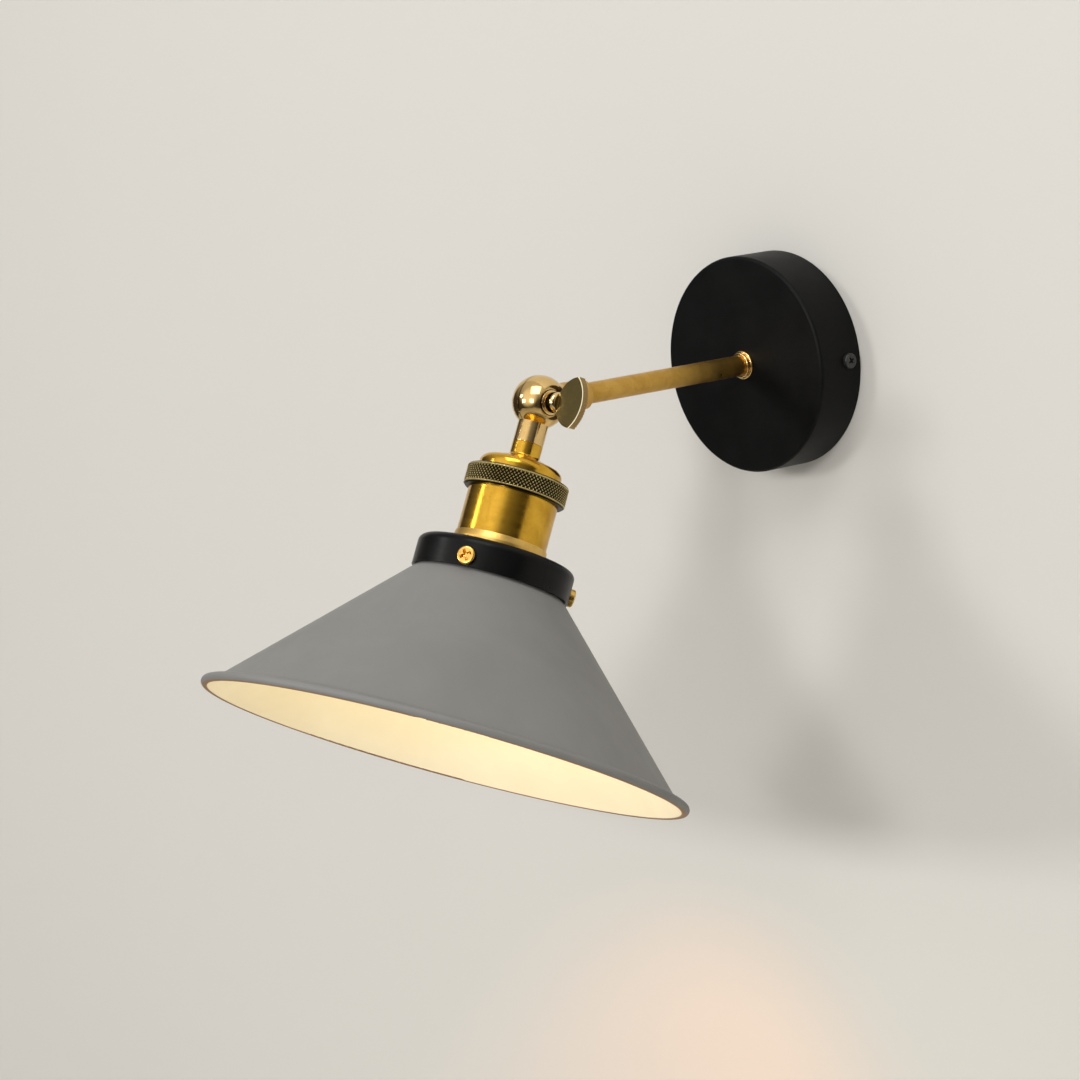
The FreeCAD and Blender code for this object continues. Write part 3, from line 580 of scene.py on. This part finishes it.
def cross_screw_mesh(shank, length, head, head_height, arm_width, arm_reach, arm_depth):
    """A pan-head screw along +Z with a tapered cross recess, head seat at height 0."""
    widest_edge, edge_steps = 0.7e-3, 6
    tip_radius, tip_length = shank * 0.8, shank * 0.3
    floor_reach, floor_width = arm_reach * 0.45, arm_width * 0.7
    over_head = 0.5e-3
    bm = bmesh.new()
    edge = min(widest_edge, head_height / 2)
    dome = [
        (head - edge * (1 - math.cos(turn)), head_height - edge * (1 - math.sin(turn)))
        for turn in (math.radians(90 / edge_steps * step) for step in range(edge_steps + 1))
    ]
    outline = [(0, -length), (tip_radius, -length), (shank, tip_length - length), (shank, 0)]
    outline += [(head, 0)] + dome + [(head * 0.5, head_height), (0, head_height)]
    turned_mesh(bm, outline, screw_sides)
    bmesh.ops.recalc_face_normals(bm, faces=bm.faces)
    blank = new_piece("screw_blank", finished_mesh(bm, "screw_blank"))
    for turn in (0, math.pi / 2):
        bm = bmesh.new()
        bmesh.ops.create_cube(bm, size=1)
        for vert in bm.verts:
            top = vert.co.z > 0
            reach = arm_reach if top else floor_reach
            width = arm_width if top else floor_width
            rise = head_height + over_head if top else head_height - arm_depth
            x, y = math.copysign(reach, vert.co.x), math.copysign(width / 2, vert.co.y)
            vert.co = Vector((x, y, rise))
        quarter = Matrix.Rotation(turn, 3, "Z")
        bmesh.ops.rotate(bm, verts=bm.verts, cent=(0, 0, 0), matrix=quarter)
        cutter = new_piece("recess_cutter", finished_mesh(bm, "recess_cutter"))
        cut = blank.modifiers.new("recess", "BOOLEAN")
        cut.operation = "DIFFERENCE"
        cut.solver = "EXACT"
        cut.object = cutter
        bpy.context.view_layer.update()
        now = bpy.context.evaluated_depsgraph_get()
        cut_mesh = bpy.data.meshes.new_from_object(blank.evaluated_get(now))
        blank.modifiers.clear()
        blank.data = cut_mesh
        bpy.data.objects.remove(cutter)
    made = blank.data
    bpy.data.objects.remove(blank)
    return made


def set_of_screws(name, mesh, places, material):
    """One piece made of the same screw at several places."""
    sharp_angle = math.radians(32)
    bm = bmesh.new()
    for place in places:
        start = len(bm.verts)
        bm.from_mesh(mesh)
        bm.verts.ensure_lookup_table()
        bmesh.ops.transform(bm, matrix=place, verts=bm.verts[start:])
    joined = finished_mesh(bm, name)
    joined.polygons.foreach_set("use_smooth", [True] * len(joined.polygons))
    joined.set_sharp_from_angle(angle=sharp_angle)
    joined.materials.append(material)
    return new_piece(name, joined)


def screw_place(seat, direction, roll):
    """Stands a screw's seat on a point, its head pointing along a direction."""
    turn = Vector((0, 0, 1)).rotation_difference(Vector(direction)).to_matrix().to_4x4()
    return Matrix.Translation(seat) @ turn @ Matrix.Rotation(math.radians(roll), 4, "Z")


side_screw = cross_screw_mesh(
    shank=0.00185,
    length=0.0055,
    head=0.0035,
    head_height=0.0019,
    arm_width=0.00105,
    arm_reach=0.0021,
    arm_depth=0.0013,
)
blackened_steel = powder_coat(
    "blackened_steel",
    colour=(0.012, 0.012, 0.013, 1),
    worn_colour=(0.02, 0.02, 0.019, 1),
    roughness=0.3,
    grain=2400,
    grain_depth=0.00003,
    gloss=0.6,
)
side_places = [
    screw_place((side_screw_seat * side, -side_screw_from_wall, 0), (side, 0, 0), roll)
    for side, roll in side_screw_rolls.items()
]
side_screws = set_of_screws("cup_side_screws", side_screw, side_places, blackened_steel)
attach(side_screws, "wall_side")
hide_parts("canopy_screws")


# --- arm fixing ---
# The arm's end is held in the cup by a turned brass collar outside, and a
# toothed washer and a hexagon nut inside, all on the same thread.
collar_brass = turned_metal(
    "collar_brass",
    "wall",
    bright=(0.86, 0.6, 0.28, 1),
    dull=(0.74, 0.48, 0.18, 1),
    smooth=0.13,
    rough=0.24,
    rings=4200,
    ring_depth=0.00002,
)
dress("arm_collar", collar_brass)
dress("lock_washer", zinc)
dress("arm_lock_nut", zinc)


# --- arm ---
# The arm is a straight drawn brass tube with a satin finish. It is screwed into
# the cup's collar at one end and into the knuckle's arm half at the other.
tube_brass = turned_metal(
    "satin_tube_brass",
    "wall",
    bright=(0.64, 0.385, 0.09, 1),
    dull=(0.52, 0.295, 0.058, 1),
    smooth=0.3,
    rough=0.42,
    rings=3200,
    ring_depth=0.00003,
    patch_size=0.009,
)
dress("arm_tube", tube_brass)


# --- ball knuckle ---
# The joint is a brass ball split into two halves that turn face to face. Each
# half has its own stem. Both are polished to a pale shine, the arm's stem is satin.
ball_radius = 0.0123
seam_half_width = 0.0002
seam_edge = 0.00036
recess_floor = 0.0092
recess_radius = 0.0079
# the radii over which painted shade darkens the recess wall
recess_shade_from = 0.0056
recess_shade_full = 0.0073
arm_stem_start = -0.1384
# the dark colour of the seam between the halves, also used for the painted shade in the recess
seam_and_recess_shade_colour = (0.07, 0.042, 0.018, 1)
satin_colour = (0.6, 0.36, 0.095, 1)


def knuckle_metal(name, satin_from):
    """Polished brass, dark where the halves meet, with painted shade in the recess, satin past a
    Y.
    """
    darkest, satin_roughness, satin_fade = 0.85, 0.24, 0.0008
    material = turned_metal(
        name,
        "knuckle",
        bright=(0.81, 0.57, 0.25, 1),
        dull=(0.72, 0.48, 0.18, 1),
        smooth=0.07,
        rough=0.13,
        rings=5200,
        ring_depth=0.000012,
    )
    tree = material.node_tree
    shader = tree.nodes["Principled BSDF"]
    position = add_node(tree, "ShaderNodeTexCoord").outputs["Object"]
    along = add_node(tree, "ShaderNodeSeparateXYZ", {"Vector": position}).outputs
    _, radius = lathe_at(tree, position, "knuckle")
    from_middle = math_node(tree, "ABSOLUTE", along["X"])
    meeting = between(tree, from_middle, seam_half_width, seam_edge, darkest, 0.0)
    on_ball = between(tree, radius, ball_radius - 0.00005, ball_radius, 1.0, 0.0)
    dark_line = math_node(tree, "MULTIPLY", meeting, on_ball)
    # painted shade: the recess wall is darkened in a ring towards its floor
    in_recess = between(tree, along["X"], recess_floor - 0.0002, recess_floor, 1.0, 0.0)
    recess_shade_ring = between(tree, radius, recess_shade_from, recess_shade_full, 0.0, darkest)
    recess_edge = between(tree, radius, recess_radius - 0.0001, recess_radius, 1.0, 0.0)
    recess_shade = math_node(tree, "MULTIPLY", recess_shade_ring, recess_edge)
    recess_shade = math_node(tree, "MULTIPLY", recess_shade, in_recess)
    share = math_node(tree, "MAXIMUM", dark_line, recess_shade)
    brass = shader.inputs["Base Color"].links[0].from_socket
    shine = shader.inputs["Roughness"].links[0].from_socket
    satin = between(tree, along["Y"], satin_from, satin_from + satin_fade)
    brass = mix_colours(tree, satin, brass, satin_colour)
    feed(tree, shader.inputs["Base Color"], mix_colours(tree, share, brass, seam_and_recess_shade_colour))
    more = math_node(tree, "MULTIPLY", satin, satin_roughness)
    feed(tree, shader.inputs["Roughness"], math_node(tree, "ADD", shine, more))
    return material


dress("knuckle_arm_half", knuckle_metal("arm_half_brass", satin_from=arm_stem_start))
knuckle_brass = knuckle_metal("knuckle_brass", satin_from=0.0)
dress("knuckle_head_half", knuckle_brass)


# --- thumb key ---
# A half-moon key with a serrated edge is fixed on a brass screw. Turning it
# clamps the two ball halves together, over a thin washer in the recess.
dress("thumb_washer", knuckle_brass)
key_face = (0, -0.922, 0.387)
key_middle = (0.0149, -arm_length, 0)
key_hub_end = 0.0139
key_rim = 0.0149
# a painted highlight line round each flat face near its rim, and the darker brown painted on the
# serrated edge
highlight_line_radius = 0.0145
highlight_line_colour = (0.93, 0.8, 0.52, 1)
darker_serrated_edge_colour = (0.34, 0.23, 0.1, 1)
lathe_axis["key"] = (key_middle, key_face)


def key_metal():
    """Key brass: dull flat faces, rubbed bright bevels and hub, a darker serrated edge, a painted
    highlight line.
    """
    material, tree, shader = new_surface("thumb_key_brass", Metallic=1.0)
    position, patches, _ = surface_marks(tree, patch_size=0.004, speck_size=0.0006)
    normal = add_node(tree, "ShaderNodeTexCoord").outputs["Normal"]
    facing = math_node(tree, "ABSOLUTE", dot_product(tree, normal, key_face))
    flat_face = between(tree, facing, 0.86, 0.98)
    station, _ = lathe_at(tree, position, "knuckle")
    _, arc_radius = lathe_at(tree, position, "key")
    out_of_hub = between(tree, station, key_hub_end, key_hub_end + 0.0007)
    inside_rim = between(tree, arc_radius, key_rim + 0.0002, key_rim)
    flat_blade = math_node(tree, "MULTIPLY", flat_face, out_of_hub)
    dull_share = math_node(tree, "MULTIPLY", flat_blade, inside_rim)
    bright = mix_colours(tree, patches, (0.85, 0.65, 0.34, 1), (0.68, 0.48, 0.2, 1))
    dull = mix_colours(tree, patches, (0.09, 0.068, 0.024, 1), (0.14, 0.108, 0.042, 1))
    not_flat = math_node(tree, "SUBTRACT", 1.0, flat_face)
    # the serrated edge past the rim is painted a darker brown
    edge_share = between(tree, arc_radius, key_rim, key_rim + 0.0002)
    edge_share = math_node(tree, "MULTIPLY", edge_share, not_flat)
    bright = mix_colours(tree, edge_share, bright, darker_serrated_edge_colour)
    colour = mix_colours(tree, dull_share, bright, dull)
    # painted highlight: a pale, barely metallic line on each flat face just inside the rim
    from_line = math_node(tree, "SUBTRACT", arc_radius, highlight_line_radius)
    from_line = math_node(tree, "ABSOLUTE", from_line)
    highlight_line = between(tree, from_line, 0.00022, 0.00038, 1.0, 0.0)
    highlight_line = math_node(tree, "MULTIPLY", highlight_line, flat_blade)
    colour = mix_colours(tree, highlight_line, colour, highlight_line_colour)
    feed(tree, shader.inputs["Base Color"], colour)
    feed(tree, shader.inputs["Metallic"], between(tree, highlight_line, 0.0, 1.0, 1.0, 0.25))
    feed(tree, shader.inputs["Roughness"], between(tree, dull_share, 0.0, 1.0, 0.16, 0.3))
    grain = noise(tree, position, 2600.0)
    add_relief(tree, shader, grain, strength=0.4, distance=0.00003)
    return material


dress("thumb_screw", key_metal())


# --- lampholder cap ---
# The cap is a small spun dome of golden lacquered brass. A hollow steel nipple
# screws it to the knuckle's lower stem, and the wires pass through.
dress("head_nipple", zinc)
golden_brass = turned_metal(
    "golden_holder_brass",
    "head",
    bright=(0.74, 0.43, 0.05, 1),
    dull=(0.55, 0.3, 0.028, 1),
    smooth=0.14,
    rough=0.24,
    rings=3000,
    ring_depth=0.00002,
)
dress("holder_cap", golden_brass)


# --- knurled collar ---
# The collar screws the cap to the body. It is turned brass with a rolled diamond
# knurl round its band, and it has aged darker in the grooves.
knurl_teeth = 80
knurl_step = 8
knurl_depth = 0.0006
knurl_pitch = 0.0019
knurl_sides = knurl_teeth * knurl_step
knurl_run_out = 3.0
groove_share = 0.7
groove_colour = (0.02, 0.015, 0.006, 1)
broad_patches = (0.35, 0.7)
band_radius = 0.0228
band_first = 0.0350
band_last = 0.0427
profile_above = [
    (0.01895, 0.0342),
    (0.0192, 0.0340),
    (0.0216, 0.0340),
    (0.0223, 0.0343),
    (0.0226, 0.0347),
]
profile_below = [(0.0226, 0.0429), (0.0219, 0.04358), (0.0188, 0.04358), (0.0188, 0.0344)]
head_centre = Vector(ball_centre)
head_axis = Vector(head_direction)
head_side = Vector((0, -0.89101, 0.45399))


def head_point(radius, turn, station):
    """A point of the head from its radius, turn from +X and station from the ball."""
    across = Vector((1, 0, 0)) * (radius * math.cos(turn))
    return head_centre + head_axis * station + across + head_side * (radius * math.sin(turn))


def wave(value):
    """1 at whole numbers, 0 halfway between them, straight in between."""
    return abs(2 * (value - math.floor(value)) - 1)


def knurled_band():
    """Rows of the band, with pyramids where two sets of slanting grooves cross."""
    rows = []
    count = round((band_last - band_first) / (knurl_pitch / knurl_step))
    for row in range(count + 1):
        station = band_first + (band_last - band_first) * row / count
        from_edge = min(row, count - row)
        fade = min(1.0, knurl_run_out * from_edge / knurl_step)
        ring = []
        for k in range(knurl_sides):
            around, down = k / knurl_step, row / knurl_step
            lift = min(wave(around + down), wave(around - down))
            ring.append((band_radius - knurl_depth * (1 - lift) * fade, station))
        rows.append(ring)
    return rows


def collar_mesh():
    """The whole collar: lip, rounded shoulder, knurled band, chamfer and bore."""
    rows = [[profile] * knurl_sides for profile in profile_above]
    rows += knurled_band()
    rows += [[profile] * knurl_sides for profile in profile_below]
    turns = [math.tau * k / knurl_sides for k in range(knurl_sides)]
    bm = bmesh.new()
    rings = []
    for row in rows:
        points = [head_point(radius, turn, station) for turn, (radius, station) in zip(turns, row)]
        rings.append([bm.verts.new(point) for point in points])
    rings.append(rings[0])
    for upper, lower in zip(rings, rings[1:]):
        for k in range(knurl_sides):
            after = (k + 1) % knurl_sides
            bm.faces.new((upper[k], upper[after], lower[after], lower[k]))
    bmesh.ops.recalc_face_normals(bm, faces=bm.faces)
    return finished_mesh(bm, "diamond_knurled_collar")


def knurl_metal():
    """Aged brass: dark in the knurl's grooves, rubbed bright on its points."""
    material, tree, shader = new_surface("knurled_brass", Metallic=1.0)
    position, patches, _ = surface_marks(tree, patch_size=0.007, speck_size=0.0008)
    _, radius = lathe_at(tree, position, "head")
    on_points = between(tree, radius, band_radius - knurl_depth * groove_share, band_radius)
    patched = between(tree, patches, *broad_patches)
    bright = mix_colours(tree, patched, (0.95, 0.78, 0.36, 1), (0.64, 0.5, 0.2, 1))
    colour = mix_colours(tree, on_points, groove_colour, bright)
    feed(tree, shader.inputs["Base Color"], colour)
    feed(tree, shader.inputs["Roughness"], between(tree, on_points, 0.0, 1.0, 0.45, 0.3))
    return material


collar_shape = collar_mesh()
collar_shape.materials.append(knurl_metal())
collar_shape.polygons.foreach_set("use_smooth", [False] * len(collar_shape.polygons))
knurled = new_piece("diamond_knurled_collar", collar_shape)
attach(knurled, "head")
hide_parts("knurled_collar")


# --- lampholder body and rings ---
# The body is a golden brass sleeve round the porcelain. Two rings screw on it,
# one above and one below the black gallery, and clamp it.
dress("holder_body", golden_brass)
ring_brass = turned_metal(
    "shade_ring_brass",
    "head",
    bright=(0.8, 0.53, 0.16, 1),
    dull=(0.66, 0.41, 0.1, 1),
    smooth=0.3,
    rough=0.4,
    rings=3600,
    ring_depth=0.00004,
)
dress("upper_shade_ring", ring_brass)
dress("lower_shade_ring", ring_brass)


# --- lampholder inside ---
# A glazed porcelain core carries the threaded brass shell and a springy centre
# contact. Only a look up into the bare holder would show them.
thread_pitch = 0.00363
porcelain = moulded_surface(
    "porcelain",
    colour=(0.84, 0.83, 0.79, 1),
    second_colour=(0.79, 0.775, 0.73, 1),
    roughness=0.3,
    grain=700,
    grain_depth=0.00003,
    Coat_Weight=0.3,
)
dress("holder_core", porcelain)


def screw_thread_metal(name, bright, dull, depth):
    """Thin rolled metal with the round screw thread of a lamp cap pressed into it."""
    material, tree, shader = new_surface(name, Metallic=1.0)
    position, patches, _ = surface_marks(tree, patch_size=0.006, speck_size=0.0007)
    station, _ = lathe_at(tree, position, "head")
    patched = between(tree, patches, *broad_patches)
    feed(tree, shader.inputs["Base Color"], mix_colours(tree, patched, bright, dull))
    feed(tree, shader.inputs["Roughness"], between(tree, patches, 0.3, 0.7, 0.2, 0.34))
    thread_turns = math_node(tree, "MULTIPLY", station, math.tau / thread_pitch)
    ridge = math_node(tree, "SINE", thread_turns)
    add_relief(tree, shader, ridge, strength=0.8, distance=depth)
    return material


contact_brass = screw_thread_metal(
    "contact_brass", bright=(0.78, 0.6, 0.3, 1), dull=(0.66, 0.47, 0.2, 1), depth=0.0004
)
dress("thread_shell", contact_brass)
spring_brass = turned_metal(
    "contact_spring_brass",
    "head",
    bright=(0.8, 0.62, 0.32, 1),
    dull=(0.66, 0.48, 0.22, 1),
    smooth=0.2,
    rough=0.32,
    rings=5200,
    ring_depth=0.00001,
)
dress("centre_contact", spring_brass)


# --- gallery ---
# The gallery is a shallow black cup over the shade's neck. Three brass screws
# through its wall grip the neck under its lip.
gallery_coat = powder_coat(
    "gallery_satin_black",
    colour=(0.0026, 0.0026, 0.0028, 1),
    worn_colour=(0.0045, 0.0045, 0.0046, 1),
    roughness=0.3,
    grain=1700,
    grain_depth=0.00003,
    gloss=0.15,
)
dress("shade_gallery", gallery_coat)
gallery_screw = cross_screw_mesh(
    shank=0.002,
    length=0.0036,
    head=0.004,
    head_height=0.00235,
    arm_width=0.0015,
    arm_reach=0.0029,
    arm_depth=0.0019,
)
gallery_screw_brass = turned_metal(
    "gallery_screw_brass",
    "head",
    bright=(0.8, 0.52, 0.14, 1),
    dull=(0.6, 0.36, 0.08, 1),
    smooth=0.2,
    rough=0.32,
    rings=5200,
    ring_depth=0.00001,
    patch_size=0.003,
)
gallery_radius = 0.035
gallery_screw_station = 0.079
roll_step, first_roll = 0.7, 8
gallery_places = []
for degrees in (60, 180, 300):
    turn = math.radians(degrees)
    outward = Vector((math.cos(turn), 0, 0)) + head_side * math.sin(turn)
    seat = head_point(gallery_radius, turn, gallery_screw_station)
    gallery_places.append(screw_place(seat, outward, roll=degrees * roll_step + first_roll))
gallery_screws = set_of_screws(
    "gallery_grip_screws", gallery_screw, gallery_places, gallery_screw_brass
)
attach(gallery_screws, "head")
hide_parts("gallery_screws")


# --- shade ---
# The shade is one cone spun from sheet aluminium with a lipped neck and a rolled
# rim. It is sprayed warm grey outside and cream white inside.
rim_station = 0.1572
rim_fade = 0.0004
spinning_rings_per_metre = 420.0
greys = ((0.218, 0.215, 0.206, 1), (0.2, 0.197, 0.189, 1))
creams = ((0.83, 0.76, 0.62, 1), (0.79, 0.71, 0.56, 1))
bare_line_colour = (0.28, 0.145, 0.06, 1)


def shade_paint():
    """Grey outside and cream inside, meeting in a thin bare line round the rim."""
    material, tree, shader = new_surface("two_colour_shade_paint", Specular_IOR_Level=0.4)
    position, patches, _ = surface_marks(tree, patch_size=0.05, speck_size=0.0012)
    normal = add_node(tree, "ShaderNodeTexCoord").outputs["Normal"]
    from_ball = vector_node(tree, "SUBTRACT", {0: position, 1: ball_centre})
    along = dot_product(tree, from_ball, head_direction)
    on_axis = vector_node(tree, "SCALE", {0: head_direction, "Scale": along})
    outwards = vector_node(tree, "SUBTRACT", {0: from_ball, 1: on_axis})
    outwards = vector_node(tree, "NORMALIZE", {0: outwards})
    side = dot_product(tree, normal, outwards)
    faces_inwards = between(tree, side, 0.12, -0.12)
    faces_down = between(tree, dot_product(tree, normal, head_direction), -0.1, 0.1)
    inside = math_node(tree, "MULTIPLY", faces_inwards, faces_down)
    rim_bottom = between(tree, math_node(tree, "ABSOLUTE", side), 0.6, 0.48)
    rim_only = between(tree, along, rim_station, rim_station + rim_fade)
    bare_line = math_node(tree, "MULTIPLY", rim_bottom, rim_only)
    cloud = between(tree, patches, *broad_patches)
    grey = mix_colours(tree, cloud, *greys)
    cream = mix_colours(tree, cloud, *creams)
    colour = mix_colours(tree, inside, grey, cream)
    colour = mix_colours(tree, bare_line, colour, bare_line_colour)
    feed(tree, shader.inputs["Base Color"], colour)
    feed(tree, shader.inputs["Roughness"], between(tree, patches, 0.3, 0.7, 0.5, 0.62))
    station, radius = lathe_at(tree, position, "head")
    ring = use_group(
        tree,
        turning_rings,
        Station=station,
        Radius=radius,
        Rings_per_Metre=spinning_rings_per_metre,
    )
    skin = math_node(tree, "MULTIPLY", noise(tree, position, 1900.0), 0.5)
    skin = math_node(tree, "ADD", skin, ring["Height"])
    add_relief(tree, shader, skin, strength=0.35, distance=0.00006)
    return material


dress("shade", shade_paint())


# --- bulb ---
# A round opal bulb with a white collar and a rolled screw cap is screwed into the
# shell. It is lit, and warms the shade's inside and the wall below.
tip_solder = moulded_surface(
    "tip_solder",
    colour=(0.62, 0.62, 0.61, 1),
    second_colour=(0.5, 0.5, 0.48, 1),
    roughness=0.3,
    grain=1400,
    grain_depth=0.00005,
    Metallic=1.0,
)
dress("bulb_tip", tip_solder)
cap_metal = screw_thread_metal(
    "bulb_cap_metal", bright=(0.8, 0.79, 0.77, 1), dull=(0.68, 0.67, 0.64, 1), depth=0.0005
)
dress("bulb_cap", cap_metal)
collar_white = moulded_surface(
    "bulb_collar_white",
    colour=(0.85, 0.84, 0.81, 1),
    second_colour=(0.8, 0.785, 0.75, 1),
    roughness=0.4,
    grain=800,
    grain_depth=0.00002,
)
dress("bulb_collar", collar_white)
globe_station = 0.1065
glow_span = (0.006, 0.0225)
glow_middle = (1.0, 0.84, 0.38, 1)
glow_ends = (0.86, 0.7, 0.3, 1)


def lit_opal_glass():
    """Opal glass lit from inside, a little brighter round its middle than at its ends."""
    material, tree, shader = new_surface("lit_opal_glass", Roughness=0.3, Emission_Strength=6.0)
    position, patches, _ = surface_marks(tree, patch_size=0.02, speck_size=0.001)
    station, _ = lathe_at(tree, position, "head")
    cloud = between(tree, patches, *broad_patches)
    opal = mix_colours(tree, cloud, (0.95, 0.91, 0.82, 1), (0.92, 0.87, 0.76, 1))
    feed(tree, shader.inputs["Base Color"], opal)
    off_middle = math_node(tree, "SUBTRACT", station, globe_station)
    off_middle = math_node(tree, "ABSOLUTE", off_middle)
    fall = between(tree, off_middle, *glow_span)
    feed(tree, shader.inputs["Emission Color"], mix_colours(tree, fall, glow_middle, glow_ends))
    return material


def lamp_in_head(name, kind, watts, colour, station):
    """An unseen lamp on the head's axis, which moves with the head."""
    data = bpy.data.lights.new(name, kind)
    data.energy = watts
    data.color = colour
    data.shadow_soft_size = 0.03
    lamp = new_piece(name, data)
    lamp.visible_camera = False
    lamp.visible_glossy = False
    lamp.parent = body["head"]
    lamp.location = head_centre + head_axis * station
    return lamp


dress("bulb_globe", lit_opal_glass())
glow_colour = (1.0, 0.84, 0.42)
lamp_in_head("glow_in_the_shade", "POINT", watts=0.165, colour=glow_colour, station=0.147)
pool_colour = (1.0, 0.36, 0.03)
pool_place_on_wall = Vector((-0.13, 0, -0.52))
pool = lamp_in_head("light_on_the_wall", "SPOT", watts=1.7, colour=pool_colour, station=0.175)
pool.data.spot_size = math.radians(64)
pool.data.spot_blend = 0.8
pool.rotation_mode = "QUATERNION"
pool.rotation_quaternion = (pool_place_on_wall - pool.location).to_track_quat("-Z", "Y")
